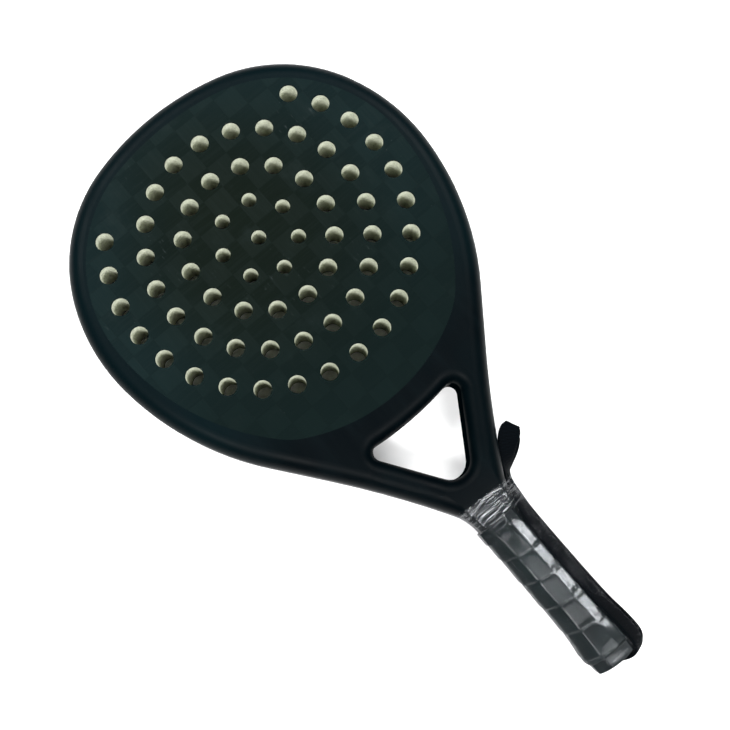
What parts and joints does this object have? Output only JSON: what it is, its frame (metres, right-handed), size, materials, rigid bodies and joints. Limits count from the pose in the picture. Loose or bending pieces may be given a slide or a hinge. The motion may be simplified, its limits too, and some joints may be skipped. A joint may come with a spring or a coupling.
{
  "type": "padel racket",
  "caption": "Teardrop padel racket with a perforated foam-cored head, open triangular throat, short wrapped handle, wrist strap and clear handle sleeve.",
  "frame": {"origin": "bottom centre of the box that holds the racket without its strap, on the surface it lies on", "axes": "+Y along the racket from the butt to the tip of the head, +Z out of the front face, +X to the right seen from the front with the head up"},
  "size_m": [0.2544, 0.4578, 0.038],
  "materials": {
    "frame_lacquer": "satin",
    "frame_foam": "matt",
    "core_foam": "matt, speckled",
    "face_carbon": "matt checked weave",
    "handle_foam": "matt",
    "cap_plastic": "satin",
    "grip_wrap": "soft, wrapped in a spiral",
    "tape": "satin",
    "strap_webbing": "woven",
    "clear_film": "clear, crinkled"
  },
  "bodies": {
    "root": {"frame_tube": "frame_lacquer", "throat_bridge": "frame_lacquer", "bridge_foam": "frame_foam", "frame_foam": "frame_foam", "foam_core": "core_foam", "front_face": "face_carbon", "rear_face": "face_carbon", "handle_foam": "handle_foam", "butt_cap": "cap_plastic", "base_grip": "grip_wrap", "finishing_tape": "tape", "strap_side_run": "strap_webbing", "strap_front_run": "strap_webbing", "strap_fold": "strap_webbing", "strap_tail": "strap_webbing", "strap_knot": "strap_webbing", "clear_sleeve": "clear_film"}
  },
  "joints": []
}
